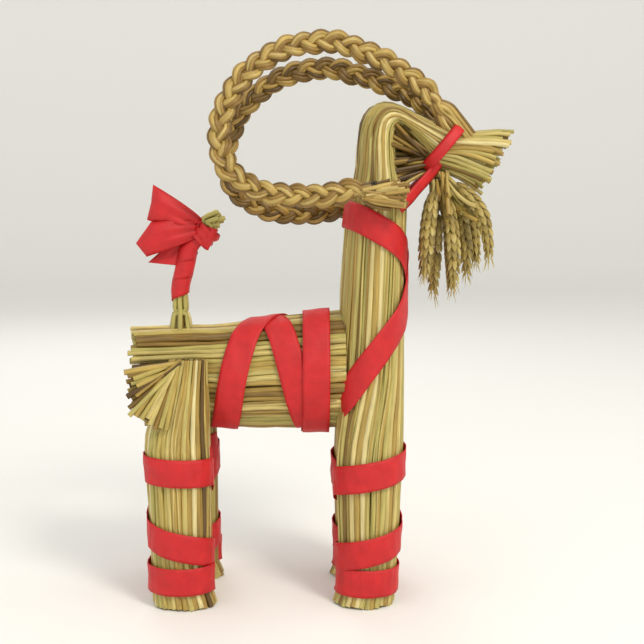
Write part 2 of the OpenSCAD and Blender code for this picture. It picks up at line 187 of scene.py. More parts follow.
def dry_straw(name, shades, roughness):
    """Dry stalk: a waxy gold skin with fine lengthwise ribs and a different shade for each straw."""
    material, tree = new_material(name)
    tone = add(tree, "Attribute", attribute_name="tone").outputs["Fac"]
    skin = add(tree, "UVMap", uv_map="skin").outputs["UV"]
    shade = add(tree, "ValToRGB", {"Fac": tone})
    ramp = shade.color_ramp
    ramp.elements[0].color = linear(shades[0])
    ramp.elements[1].color = linear(shades[-1])
    for i, colour in enumerate(shades[1:-1], 1):
        ramp.elements.new(i / (len(shades) - 1)).color = linear(colour)
    # Ribs 0.35 mm apart that run about 15 mm along the stalk.
    rib_place = add(tree, "Mapping", {"Vector": skin, "Scale": (1 / (0.35 * MM), 1 / (15 * MM), 1.0)})
    ribs = add(tree, "TexNoise", {"Vector": rib_place.outputs["Vector"], "Scale": 1.0, "Detail": 2.0})
    # Weathered stains about 12 mm long.
    stain_place = add(tree, "Mapping", {"Vector": skin, "Scale": (1 / (4 * MM), 1 / (12 * MM), 1.0)})
    stains = add(tree, "TexNoise", {"Vector": stain_place.outputs["Vector"], "Scale": 1.0, "Detail": 3.0})
    rib_tone = add(tree, "MapRange", {"Value": ribs.outputs["Fac"], "From Min": 0.3, "From Max": 0.7,
                                      "To Min": 0.7, "To Max": 1.08})
    stain_tone = add(tree, "MapRange", {"Value": stains.outputs["Fac"], "From Min": 0.35,
                                        "From Max": 0.65, "To Min": 0.78, "To Max": 1.08})
    both = maths(tree, "MULTIPLY", rib_tone.outputs["Result"], stain_tone.outputs["Result"])
    colour = add(tree, "VectorMath", {0: shade.outputs["Color"], "Scale": both},
                 operation="SCALE")
    bump = add(tree, "Bump", {"Height": ribs.outputs["Fac"], "Strength": 0.5, "Distance": 0.12 * MM})
    return with_surface(material, {
        "Base Color": colour.outputs["Vector"], "Roughness": roughness, "IOR": 1.45,
        "Coat Weight": 0.12, "Coat Roughness": 0.3, "Normal": bump.outputs["Normal"]})


STRAW_SHADES = ["#5E4418", "#9C7B34", "#C2A654", "#B9AE5E", "#D6C176", "#E8DA9E"]
straw_skin = dry_straw("dry_straw", STRAW_SHADES, roughness=0.42)


def hollow_straw(steps):
    """A straw of unit radius whose height counts steps, with a wall and open cut ends."""
    bore, depth = 0.68, 0.35
    rings = [(bore, 0.0), (1.0, 0.0)] + [(1.0, float(k)) for k in range(1, steps + 1)]
    rings += [(bore, float(steps)), (bore, steps - depth)]
    bm = bmesh.new()
    bmesh.ops.create_circle(bm, cap_ends=True, segments=SIDES, radius=bore,
                            matrix=Matrix.Translation((0, 0, depth)))
    edges = list(bm.edges)
    before = bore
    for radius, height in rings:
        grown = bmesh.ops.extrude_edge_only(bm, edges=edges)["geom"]
        verts = [g for g in grown if isinstance(g, bmesh.types.BMVert)]
        edges = [g for g in grown if isinstance(g, bmesh.types.BMEdge) and set(g.verts) <= set(verts)]
        for v in verts:
            v.co = (v.co.x * radius / before, v.co.y * radius / before, height)
        before = radius
    bmesh.ops.edgeloop_fill(bm, edges=edges)
    bmesh.ops.recalc_face_normals(bm, faces=bm.faces)
    skin = bm.loops.layers.uv.new("skin")
    for face in bm.faces:
        places = [corner.vert.co for corner in face.loops]
        turns = [math.atan2(place.y, place.x) / math.tau % 1 for place in places]
        wraps = max(turns) - min(turns) > 0.5
        for corner, turn in zip(face.loops, turns):
            corner[skin].uv = (turn + (1 if wraps and turn < 0.5 else 0), corner.vert.co.z)
    return bm


def axes_along(line, outwards):
    """At each point of a line, a direction out of the bundle and one round it."""
    made = []
    for k, point in enumerate(line):
        tangent = (line[min(k + 1, len(line) - 1)] - line[max(k - 1, 0)]).normalized()
        out = outwards[k] - tangent * outwards[k].dot(tangent)
        out.normalize()
        made.append((out, tangent.cross(out)))
    return made


def join_to(bundle, part):
    """Moves a part's mesh into a bundle's."""
    scratch = bpy.data.meshes.new("scratch")
    part.to_mesh(scratch)
    part.free()
    bundle.from_mesh(scratch)
    bpy.data.meshes.remove(scratch)


def lay_straw(bundle, template, line, outwards, radii, tone, pressed=0.92):
    """Lays one straw in a bundle's mesh along a line, pressed a little flat against its neighbours."""
    straw = template.copy()
    steps = len(line) - 1
    axes = axes_along(line, outwards)
    shade = straw.verts.layers.float.new("tone")
    for v in straw.verts:
        k = min(int(v.co.z), steps - 1)
        f = v.co.z - k
        radius = radii[k] + (radii[k + 1] - radii[k]) * f
        out = axes[k][0].lerp(axes[k + 1][0], f)
        side = axes[k][1].lerp(axes[k + 1][1], f)
        v.co = line[k].lerp(line[k + 1], f) + (out * v.co.x * pressed + side * v.co.y) * radius
        v[shade] = tone
    length = sum((b - a).length for a, b in zip(line, line[1:]))
    around, along, shift = math.tau * STRAW_R, length / steps, dice.random()
    skin = straw.loops.layers.uv["skin"]
    for face in straw.faces:
        for corner in face.loops:
            uv = corner[skin].uv
            corner[skin].uv = (uv.x * around + shift, uv.y * along + shift)
    join_to(bundle, straw)


def new_bundle():
    """An empty mesh for straws, with a shade for each point and a skin to carry the ribs."""
    bundle = bmesh.new()
    bundle.verts.layers.float.new("tone")
    bundle.loops.layers.uv.new("skin")
    return bundle


def finish_piece(name, bm, material, body, nodes, crisp=True):
    """Makes the piece's object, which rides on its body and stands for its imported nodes."""
    mesh = bpy.data.meshes.new(name)
    bm.to_mesh(mesh)
    bm.free()
    mesh.materials.append(material)
    mesh.polygons.foreach_set("use_smooth", [True] * len(mesh.polygons))
    if crisp:
        mesh.set_sharp_from_angle(angle=math.radians(55))
    piece = bpy.data.objects.new(name, mesh)
    bpy.context.collection.objects.link(piece)
    if body:
        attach(piece, body)
    if nodes:
        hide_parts(*nodes)
    return piece


# ---- Front bundle: the two front legs, the neck and the head ----
# Long straws stand side by side from the feet to the muzzle. Below the chest they part into two
# legs; above it the two halves make the neck, fold over forwards and are tied at the muzzle.

FORWARD, UP = (1, 0, 0), (0, 0, 1)
BOTH_SIDES = (("left", 1), ("right", -1))
packed = {}


def middle_of(points):
    """The mean of several points."""
    return sum(points, Vector()) / len(points)


def distances(line):
    """How far along a line each of its points is."""
    far = [0.0]
    for a, b in zip(line, line[1:]):
        far.append(far[-1] + (b - a).length)
    return far


def packed_solid(name):
    """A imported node's mesh with its loose triangles joined."""
    if name not in packed:
        bm = bmesh.new()
        bm.from_mesh(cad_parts[name].data)
        bmesh.ops.remove_doubles(bm, verts=bm.verts, dist=0.001 * MM)
        packed[name] = bm
    return packed[name]


def cut_outline(name, at, normal, start=None):
    """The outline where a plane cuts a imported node, as points in order round its normal.

    It starts at its furthest point in the start direction, if one is given."""
    bm = packed_solid(name).copy()
    cut = bmesh.ops.bisect_plane(bm, geom=bm.verts[:] + bm.edges[:] + bm.faces[:],
                                 plane_co=at, plane_no=normal)["geom_cut"]
    ways = {}
    for edge in (g for g in cut if isinstance(g, bmesh.types.BMEdge)):
        a, b = edge.verts
        ways.setdefault(a, []).append(b)
        ways.setdefault(b, []).append(a)
    loops = []
    while ways:
        here = next(iter(ways))
        loop = []
        while here in ways:
            onward = ways.pop(here)
            loop.append(here.co.copy())
            here = next((v for v in onward if v in ways), None)
        loops.append(loop)
    bm.free()
    whole = [loop for loop in loops if len(loop) > 4]
    nearest = min(whole, key=lambda loop: (middle_of(loop) - Vector(at)).length)
    middle = middle_of(nearest)
    turn = sum((a - middle).cross(b - middle).dot(Vector(normal)) for a, b in zip(nearest, nearest[1:]))
    outline = nearest if turn > 0 else nearest[::-1]
    if start:
        first = max(range(len(outline)), key=lambda i: outline[i].dot(Vector(start)))
        outline = outline[first:] + outline[:first]
    return outline


def spread_round(outline, count, shift=0.0):
    """Points spaced evenly round an outline, and their spacing; shift moves them on by a part of it."""
    loop = outline + outline[:1]
    lengths = distances(loop)
    points, k = [], 0
    for i in range(count):
        want = ((i + shift) / count % 1) * lengths[-1]
        k = 0 if i == 0 or want < lengths[k] else k
        while lengths[k + 1] < want:
            k += 1
        part = (want - lengths[k]) / max(lengths[k + 1] - lengths[k], 1e-9)
        points.append(loop[k].lerp(loop[k + 1], part))
    return points, lengths[-1] / count


def layer_of_straws(bundle, outlines, count, depth=0.0, painted_shade=0.0, wander=0.3, ends=(0.0, 0.0),
                    wanted=None, radius=STRAW_R, part=None):
    """Lays straws side by side along a run of outlines, a depth under the surface.

    ends is how much shorter the two ends may be cut, wanted picks the straws by their place, and
    part is the share of the places that get a loose sliver of straw instead of a whole one."""
    steps = len(outlines) - 1
    template = hollow_straw(steps)
    rings = [spread_round(o, count, 0.5 * (round(depth / radius) % 2)) for o in outlines]
    middles = [middle_of(points) for points, _ in rings]
    for i in range(count):
        if wanted and not wanted(rings[0][0][i]):
            continue
        if part and dice.random() > part:
            continue
        r = radius * dice.uniform(0.78, 1.06)
        sunk, aside = dice.triangular(0, 0.9, 0.1) * MM, dice.uniform(-0.14, 0.14)
        phase, pace = dice.uniform(0, math.tau), dice.uniform(0.5, 1.2)
        line, outwards, radii = [], [], []
        for k in range(steps + 1):
            points, spacing = rings[k]
            out = (points[i] - middles[k]).normalized()
            near = points[(i + 1) % count] - points[i - 1]
            normal = (out - near * out.dot(near) / near.length_squared).normalized()
            fit = min(r, spacing * 0.54)
            sway = wander * MM * math.sin(phase + pace * k) + aside * spacing
            under = fit * 0.95 + depth + min(sunk, spacing * 0.32) + abs(sway) * 0.4
            line.append(points[i] - normal * under + near.normalized() * sway)
            outwards.append(normal)
            radii.append(fit)
        if part:
            a, b = sorted((dice.uniform(0, steps), dice.uniform(0, steps)))
            places = [a + (b - a) * k / steps for k in range(steps + 1)]
            line = [line[int(t)].lerp(line[min(int(t) + 1, steps)], t % 1) for t in places]
            radii = [r * math.sin(math.pi * (0.1 + 0.8 * k / steps)) for k in range(steps + 1)]
            if (line[-1] - line[0]).length < 12 * MM:
                continue
        else:
            line[0] = line[0].lerp(line[1], dice.random() * ends[0])
            line[-1] = line[-1].lerp(line[-2], dice.random() * ends[1])
        # A few straws picked at random are made 0.22 darker all along.
        darkened = 0.22 if dice.random() < 0.15 else 0.0
        # The darkening that the caller asks for is painted shade, for straws that lie deeper in a bundle or
        # under other parts.
        tone = max(0.0, min(1.0, dice.betavariate(2.0, 1.6) - painted_shade - darkened))
        lay_straw(bundle, template, line, outwards, radii, tone, pressed=dice.uniform(0.74, 0.96))
    template.free()


def fill_leg(bundle, outlines):
    """Fills a leg's outlines with whole straws outside, shorter ones inside and a few slivers."""
    layer_of_straws(bundle, outlines, 34, ends=(0.35, 0.0))
    layer_of_straws(bundle, outlines, 25, depth=2.2 * MM, painted_shade=0.5, ends=(0.4, 0.0))
    for depth, count in ((4.9, 17), (7.3, 10), (9.6, 4)):
        layer_of_straws(bundle, outlines[:5], count, depth=depth * MM, painted_shade=0.2, ends=(0.4, 0.0))
    layer_of_straws(bundle, outlines, 37, depth=-0.1 * MM, radius=0.5 * MM, part=0.6)


FRONT_HEIGHTS = [0.02, 3, 7, 15, 27, 40, 52, 62, 70, 78, 86, 95, 106, 118, 131, 145, 158, 168, 174, 180]
# The fold of the head: each section's inner and outer point in X and height, then its half width.
HEAD = [
    ((31.9, 186.0), (14.2, 186.5), 18.2), ((31.5, 191.5), (14.6, 193.5), 17.6),
    ((31.4, 194.8), (15.3, 199.5), 17), ((31.4, 196.8), (16.1, 203.4), 16.6),
    ((31.5, 198.5), (17.6, 206.9), 16), ((31.9, 199.8), (19.8, 209.7), 15.5),
    ((32.4, 200.7), (22.8, 211.6), 15), ((33, 201.2), (26, 212.2), 14.4),
    ((33.8, 201.2), (29.4, 211.9), 13.6), ((35, 200.5), (33, 210.8), 12.8),
    ((36.8, 198.8), (37, 209.1), 12.2), ((39.8, 195.2), (44.5, 206), 11.4),
    ((43, 189.3), (52.5, 202.9), 11), ((45.8, 183.4), (59.3, 199.8), 10.8),
]
CORNERS = 40


def oval(middle, reach, side):
    """An oval outline that starts towards reach and goes round by side."""
    turns = [math.tau * i / CORNERS for i in range(CORNERS)]
    return [middle + reach * math.cos(t) + side * math.sin(t) for t in turns]


def oval_outline(inner, outer, half):
    """A section's outline as an oval from its inner point round by the left side."""
    a, b = Vector((inner[0], 0, inner[1])) * MM, Vector((outer[0], 0, outer[1])) * MM
    middle, reach, side = (a + b) / 2, (a - b) / 2, Vector((0, half * MM, 0))
    return oval(middle, reach, side)


def half_outline(section, sign):
    """The left or right half of a section, closed by a flat side in the middle."""
    whole, halfway = oval_outline(*section), CORNERS // 2
    aside = Vector((0, sign * 0.5 * MM, 0))
    flat = [whole[0].lerp(whole[halfway], i / 12) + aside for i in range(1, 12)]
    return whole[:halfway + 1] + flat[::-1] if sign > 0 else whole[:1] + flat + whole[halfway:]


for side, sign in BOTH_SIDES:
    node = f"front_bundle_{side}"
    outlines = [cut_outline(node, (0.02, 0, z * MM), UP, start=FORWARD) for z in FRONT_HEIGHTS]
    outlines += [half_outline(section, sign) for section in HEAD]
    bundle = new_bundle()
    fill_leg(bundle, outlines)
    finish_piece(f"{side}_front_leg_to_head", bundle, straw_skin, "goat", [node])


# ---- Trunk and rump ----
# One thick bundle lies lengthwise, its front end bound into the neck. Its upper straws run on
# over the rump as a flat layer and are cut off behind; the lower ones end between the haunches.

TRUNK_PLACES = [9.9, 4, -3, -10, -17, -24, -31, -38, -43, -47.8]
CORE_PLACES = [-51.9, -58, -65, -72, -78.9]
RUMP_FROM = 109.5 * MM
outlines = [cut_outline("trunk_bundle", (x * MM, 0, 0.096), FORWARD, start=UP) for x in TRUNK_PLACES]
rump_end = [[p + Vector((back * MM, 0, -drop * MM)) for p in outlines[-1]]
            for back, drop in ((-6, 0), (-13, 0.2), (-21, 0.4), (-28, 0.6), (-34.9, 0.8))]
core = [cut_outline("trunk_bundle", (x * MM, 0, 0.0886), FORWARD, start=UP) for x in CORE_PLACES]
bundle = new_bundle()
layer_of_straws(bundle, outlines + rump_end[:1], 56, wanted=lambda p: p.z < RUMP_FROM)
layer_of_straws(bundle, outlines, 44, depth=2.2 * MM, painted_shade=0.5)
layer_of_straws(bundle, outlines + rump_end, 56, ends=(0, 0.7), wanted=lambda p: p.z >= RUMP_FROM)
for depth, count in ((2.4, 50), (4.9, 43), (7.3, 36), (9.6, 28)):
    layer_of_straws(bundle, rump_end, count, depth=depth * MM, painted_shade=0.04 * depth, ends=(0, 0.8),
                    wanted=lambda p: p.z > RUMP_FROM - 4 * MM)
for depth, count in ((0.0, 32), (2.5, 26), (5, 19), (7.5, 12), (9.6, 5)):
    layer_of_straws(bundle, core, count, depth=depth * MM, painted_shade=0.15, ends=(0, 0.7))
layer_of_straws(bundle, outlines, 60, depth=-0.1 * MM, radius=0.5 * MM, part=0.5)
finish_piece("trunk_and_rump", bundle, straw_skin, "goat", ["trunk_bundle", "rump_layer"])


# ---- Hind legs and haunches ----
# Each hind leg's straws are gathered at the tail's root and run down over the flank into the
# leg. Shorter ones fan out backwards from the same point and are cut off in an arc.

def fan_straws(bundle, root, ends, spread, painted_shade=0.0, radius=STRAW_R, sag=0.0, spot=0.6):
    """Lays cut straws from near one point to each of several ends.

    spread is how far off the root they may start, in millimetres, sag how far they bow down, and
    spot their thickness at the root as a share of the whole."""
    template = hollow_straw(6)
    for end in ends:
        start = root + Vector([dice.uniform(-s, s) * MM for s in spread])
        bow = Vector((0, 0, -sag * MM * dice.uniform(0.6, 1.4)))
        line = [start.lerp(end, k / 6) + bow * (-4 * k / 6 * (1 - k / 6)) for k in range(7)]
        out = Vector((0, math.copysign(1, end.y or 1), 0.001))
        r = radius * dice.uniform(0.75, 1.1)
        radii = [r * (spot + (1 - spot) * min(1, k / 3)) for k in range(7)]
        # The darkening that the caller asks for is painted shade, for straws that lie further in or under
        # other parts.
        lay_straw(bundle, template, line, [out] * 7, radii, max(0.0, dice.betavariate(2.2, 1.8) - painted_shade))
    template.free()


HIND_HEIGHTS = [0.02, 3, 7, 15, 27, 40, 52, 61.9]
# Height, middle and half depth in X, middle and half width to the side.
HAUNCH = [(67, -61.2, 14.4, 17.1, 10.2), (73, -61, 14.2, 17.3, 8.8), (80, -60, 13.2, 17.5, 7.2),
          (88, -58.6, 11.6, 17.6, 6), (96, -57.2, 9.8, 17.7, 4.6), (104.6, -56, 8.6, 17.8, 3.4)]
for side, sign in BOTH_SIDES:
    leg, haunch = f"hind_leg_{side}", f"haunch_{side}"
    outlines = [cut_outline(leg, (-0.06, sign * 0.017, z * MM), UP, start=FORWARD) for z in HIND_HEIGHTS]
    outlines += [oval(Vector((x, sign * y, z)) * MM, Vector((reach * MM, 0, 0)), Vector((0, half * MM, 0)))
                 for z, x, reach, y, half in HAUNCH]
    bundle = new_bundle()
    fill_leg(bundle, outlines)
    gather_x, gather_z = -59.6, 103.5
    for row, (out, count) in enumerate(((24.6, 16), (21.6, 17), (18.4, 16), (15.2, 14), (12.4, 12))):
        tips = []
        for i in range(count):
            angle = math.radians(188 + 76 * (i + 0.5 * (row % 2)) / count)
            reach = min(29.5, 21.8 / abs(math.cos(angle))) * dice.triangular(0.66, 1.03, 0.98)
            lean = abs(math.sin(angle)) * 2.2
            y = sign * (out + lean * dice.uniform(0.3, 0.9))
            x, z = gather_x + reach * math.cos(angle), gather_z + reach * math.sin(angle)
            tips.append(Vector((x, y, z)) * MM)
        start = Vector((gather_x, sign * (20.5 - row * 1.5), gather_z)) * MM
        # Rows further in are painted darker: painted shade.
        fan_straws(bundle, start, tips, (2.2, 0.7, 1.6), painted_shade=0.12 + 0.2 * row, radius=1.1 * MM)
    finish_piece(f"{side}_haunch_and_hind_leg", bundle, straw_skin, "goat", [leg, haunch])


# ---- Inside of the head and throat ----
# Under the fold lie more of the same straws, and some are drawn from the throat to the tie,
# painted darker as painted shade under the head, as are the deeper layers.

outlines = [oval_outline(*section) for section in HEAD]
bundle = new_bundle()
layer_of_straws(bundle, outlines, 34, depth=1.9 * MM, painted_shade=0.5)
layer_of_straws(bundle, outlines, 22, depth=4.4 * MM, painted_shade=0.5)
layer_of_straws(bundle, outlines, 50, depth=-0.2 * MM, radius=0.5 * MM, part=0.7)
throat = [Vector((dice.uniform(26, 29), y, dice.triangular(170, 206, 204))) * MM
          for y in [-11.5 + 23 * i / 99 for i in range(100)]]
fan_straws(bundle, Vector((48, 0, 187.5)) * MM, throat, (0.8, 6.5, 2.6), painted_shade=0.5,
           radius=0.95 * MM, spot=0.8)
finish_piece("inside_of_head", bundle, straw_skin, "goat", ["head_fold"])


# ---- Snout ----
# In front of the tie the same straws fan out and are cut off square. The sections are given as
# the head's are, from the tie to the cut ends.

SNOUT = [
    ((46.0, 184.0), (59.4, 199.4), 9.8), ((52.2, 182.2), (63.8, 200.6), 10.4),
    ((58.0, 179.4), (69.4, 201.3), 11.3), ((63.4, 176), (75.8, 201.6), 12.4),
    ((68.4, 172), (82.6, 201.2), 13.4),
]
outlines = [oval_outline(*section) for section in SNOUT]
bundle = new_bundle()
for depth, count in ((0.0, 36), (2.3, 28), (4.5, 21), (6.7, 14), (8.8, 7)):
    layer_of_straws(bundle, outlines, count, depth=depth * MM, painted_shade=0.02 * depth, ends=(0, 0.95),
                    wander=0.7, radius=1.08 * MM)
finish_piece("fanned_snout", bundle, straw_skin, "goat", ["snout_fan"])


# ---- Horns ----
# Each horn is a plait of three strands, six thin straws to a strand, from the muzzle over the
# back and down to the side of the neck. It starts unplaited and ends in a tied brush.

THIN_R = 0.95 * MM
PLAIT_PERIOD = 21 * MM
HORN_STEPS = 176
HORN_SHADES = ["#5E4517", "#967434", "#B8974C", "#C4A85C", "#D6BF7C"]
horn_skin = dry_straw("plaited_straw", HORN_SHADES, roughness=0.45)


def smooth_run(points, count):
    """A smooth line through points, as evenly spaced places."""
    fine = []
    for i in range(len(points) - 1):
        a, b, c, d = (points[max(0, min(len(points) - 1, i + n))] for n in (-1, 0, 1, 2))
        for k in range(16):
            t = k / 16
            fine.append(0.5 * (2 * b + (c - a) * t + (2 * a - 5 * b + 4 * c - d) * t ** 2
                               + (3 * b - a - 3 * c + d) * t ** 3))
    fine.append(points[-1])
    far = distances(fine)
    line, k = [], 0
    for i in range(count):
        want = far[-1] * i / (count - 1)
        while k < len(fine) - 2 and far[k + 1] < want:
            k += 1
        line.append(fine[k].lerp(fine[k + 1], (want - far[k]) / (far[k + 1] - far[k])))
    return line, far[-1]


def horn_run(node):
    """The middle line of a packed horn, from cuts that turn about the middle of its loop."""
    hub = Vector((-0.005, 0, 0.203))
    points = []
    for degrees in range(3, 304, 12):
        a = math.radians(degrees)
        look = Vector((math.cos(a), 0, math.sin(a)))
        points.append(middle_of(cut_outline(node, hub + look * 0.042, (-look.z, 0, look.x))))
    end_face = [v.co for v in packed_solid(node).verts if v.co.x > 21.9 * MM and v.co.z < 0.18]
    return points + [middle_of(end_face)]


def in_plait(far, length, strand):
    """A strand's place across and through the plait, and how loosely its straws lie."""
    turn = math.tau * (far / PLAIT_PERIOD + strand / 3)
    begun, left = (far - 10 * MM) / (22 * MM), (length - 15 * MM - far) / (12 * MM)
    plaited = min(1, max(0, begun), max(0, left))
    plaited = plaited * plaited * (3 - 2 * plaited)
    brush = max(0, (far - (length - 16 * MM)) / (16 * MM))
    apart = (strand - 1) * (3.1 - 0.9 * (far > length / 2))
    across = (2.75 * math.sin(turn) * plaited + apart * (1 - plaited)) * (1 + 0.8 * brush)
    return across, 1.25 * math.sin(2 * turn) * plaited, 1 + 0.35 * (1 - plaited) + 1.1 * brush


for side, sign in BOTH_SIDES:
    points = horn_run(f"horn_plait_{side}")
    points[0] = Vector((57.4, sign * 5.4, 199.2)) * MM
    points.insert(0, Vector((62.0, sign * 5.0, 193.0)) * MM)
    points.append(points[-1] + Vector((13 * MM, 0, 0.6 * MM)))
    line, length = smooth_run(points, HORN_STEPS)
    axes = axes_along(line, [Vector((0, 1, 0))] * HORN_STEPS)
    bundle = new_bundle()
    template = hollow_straw(HORN_STEPS - 1)
    for strand in range(3):
        for straw in range(6):
            round_strand = math.tau * straw / 6
            wide, thick = 1.45 * math.cos(round_strand), 0.95 * math.sin(round_strand)
            sway, slide = dice.uniform(0, math.tau), dice.uniform(-0.35, 0.35)
            cut_back = dice.randint(2, 9)
            run, outs, radii = [], [], []
            for k, place in enumerate(line):
                far = length * k / (HORN_STEPS - 1)
                across, through, loose = in_plait(far, length, strand)
                out, flat = axes[k]
                run.append(place + flat * (across + wide * loose + slide) * MM
                           + out * (through + thick * loose + 0.15 * math.sin(sway + far * 300)) * MM)
                outs.append(out)
                radii.append(THIN_R * (0.92 + 0.08 * math.sin(sway + far * 200)))
            for k in range(HORN_STEPS - cut_back, HORN_STEPS):
                run[k] = run[HORN_STEPS - cut_back - 1].lerp(run[k], 0.12)
            # The left horn, the far one from the camera, is painted 0.15 darker: painted shade.
            tone = max(0, min(1, dice.betavariate(2, 2) - (0.15 if side == "left" else 0)))
            lay_straw(bundle, template, run, outs, radii, tone, pressed=0.8)
    template.free()
    end = line[-1]
    brush_tips = [end + Vector((dice.uniform(-6.5, -0.5), dice.uniform(-3, 3), dice.uniform(-5.4, 5.4))) * MM
                  for _ in range(40)]
    fan_straws(bundle, end - Vector((19, 0, 0)) * MM, brush_tips, (1.5, 3.4, 2.4),
               radius=0.85 * MM, spot=0.85)
    finish_piece(f"{side}_horn", bundle, horn_skin, "goat", [f"horn_plait_{side}", f"horn_tuft_{side}"])


# ---- Beard of wheat ears ----
# Eight dry ears hang by their stems from the tie of the muzzle, among stems cut short. An ear is
# two rows of husked spikelets on a stem, three husks to a spikelet, with short bristles.

EAR_LENGTH, EAR_WIDTH = 36 * MM, 7.0 * MM
STEM_TOP = 0.1808
SPIKELETS = 18


def wheat_husk(name, shades):
    """Dry wheat husk: matt papery gold with fine veins that run along it."""
    material, tree = new_material(name)
    place = add(tree, "TexCoord").outputs["Object"]
    tone = add(tree, "Attribute", attribute_name="tone").outputs["Fac"]
    blotch = add(tree, "TexNoise", {"Vector": place, "Scale": 1 / (3 * MM), "Detail": 3.0})
    shade = add(tree, "ValToRGB", {"Fac": maths(tree, "MULTIPLY_ADD", blotch.outputs["Fac"], 0.35, tone)})
    ramp = shade.color_ramp
    ramp.elements[0].color = linear(shades[0])
    ramp.elements[1].color = linear(shades[-1])
    ramp.elements.new(0.6).color = linear(shades[1])
    veins = add(tree, "Mapping", {"Vector": place, "Scale": (1 / (0.4 * MM), 1 / (0.4 * MM), 1 / (3 * MM))})
    fine = add(tree, "TexNoise", {"Vector": veins.outputs["Vector"], "Scale": 1.0, "Detail": 2.0})
    bump = add(tree, "Bump", {"Height": fine.outputs["Fac"], "Strength": 0.6, "Distance": 0.15 * MM})
    return with_surface(material, {
        "Base Color": shade.outputs["Color"], "Roughness": 0.62, "Sheen Weight": 0.15,
        "Normal": bump.outputs["Normal"]})


husk_skin = wheat_husk("wheat_husk", ["#54421A", "#A48E45", "#D2C380"])


def lay_husk(bundle, place, heading, outward, long, wide, tone):
    """A pointed husk that lies on the ear, its tip turned a little outwards."""
    husk = bmesh.new()
    bmesh.ops.create_uvsphere(husk, u_segments=6, v_segments=5, radius=1.0)
    side = heading.cross(outward).normalized()
    shade = husk.verts.layers.float.new("tone")
    husk.loops.layers.uv.new("skin")
    for v in husk.verts:
        t = (v.co.z + 1) / 2
        slim = 1.0 if t < 0.5 else 1.0 - 0.45 * (t - 0.5) * 2
        v.co = (place + heading * v.co.z * long / 2 + side * v.co.x * wide / 2 * slim
                + outward * (v.co.y * wide * 0.42 * slim + 0.35 * MM * t))
        # Each husk is painted darker towards its root: painted shade in the gaps between husks.
        v[shade] = tone - 0.45 * (1 - t)
    join_to(bundle, husk)


def lay_bristle(bundle, start, end, tone):
    """A hair-thin bristle that tapers to its tip."""
    bristle = bmesh.new()
    way = end - start
    bmesh.ops.create_cone(bristle, cap_ends=True, segments=4, radius1=0.28 * MM, radius2=0.04 * MM,
                          depth=way.length, matrix=Matrix.Translation((0, 0, way.length / 2)))
    bmesh.ops.transform(bristle, verts=bristle.verts,
                        matrix=Matrix.Translation(start) @ way.to_track_quat("Z", "Y").to_matrix().to_4x4())
    shade = bristle.verts.layers.float.new("tone")
    for v in bristle.verts:
        v[shade] = tone
    bristle.loops.layers.uv.new("skin")
    join_to(bundle, bristle)


bundle = new_bundle()
stem_ends = [Vector((dice.uniform(48, 69) - abs(y) * 0.15, y, dice.uniform(160, 174))) * MM
             for y in [-12 + 24 * i / 55 for i in range(56)]]
fan_straws(bundle, Vector((50.4, 0, 182.5)) * MM, stem_ends, (2.2, 6.5, 1.0), painted_shade=0.15,
           radius=0.95 * MM, sag=-2.5)
finish_piece("cut_stems_in_beard", bundle, straw_skin, "beard", [])
for number in range(1, 9):
    node = f"wheat_ear_{number}"
    places = [v.co for v in packed_solid(node).verts]
    middle, tip_z = middle_of(places), min(place.z for place in places)
    levels = [STEM_TOP - (STEM_TOP - tip_z - 0.6 * MM) * k / 12 for k in range(13)]
    points = [middle_of(cut_outline(node, (middle.x, middle.y, z), UP)) for z in levels]
    points.insert(0, points[0] + Vector((-0.8, 0, 2.4)) * MM)
    line, length = smooth_run(points, 60)
    ear_from = next(k for k in range(60) if length * (1 - k / 59) < EAR_LENGTH)
    bundle = new_bundle()
    template = hollow_straw(20)
    stem = [line[round(k * (ear_from + 6) / 20)] for k in range(21)]
    thinning = [(1.0 - 0.02 * k) * MM for k in range(21)]
    lay_straw(bundle, template, stem, [Vector((0, 1, 0))] * 21, thinning, 0.55)
    template.free()
    face = dice.uniform(0, math.pi)
    for i in range(SPIKELETS):
        t = i / (SPIKELETS - 1)
        k = min(58, ear_from + round((59 - ear_from) * t * 0.9))
        heading = (line[k + 1] - line[k]).normalized()
        across = heading.cross(Vector((math.sin(face), math.cos(face), 0))).normalized()
        other = heading.cross(across).normalized()
        full = math.sin(math.pi * (0.22 + 0.66 * t)) ** 0.7
        turn = 1 if i % 2 else -1
        for husk in (-1, 0, 1):
            outward = (across * turn * (1.0 if husk == 0 else 0.55) + other * 0.95 * husk).normalized()
            place = line[k] + outward * EAR_WIDTH * 0.27 * full + heading * (1.2 + 0.5 * abs(husk)) * MM
            lay_husk(bundle, place, (heading + outward * 0.22).normalized(), outward,
                     5.6 * MM, 2.9 * MM * full, 0.35 + 0.4 * dice.random())
            if husk == 0 or t > 0.8:
                reach = dice.uniform(1.5, 3.5) * MM * (1.6 if t > 0.8 else 1)
                start = place + heading * 2.6 * MM
                lay_bristle(bundle, start, start + (heading + outward * 0.3).normalized() * reach, 0.5)
    finish_piece(f"ear_{number}", bundle, husk_skin, "beard", [node])
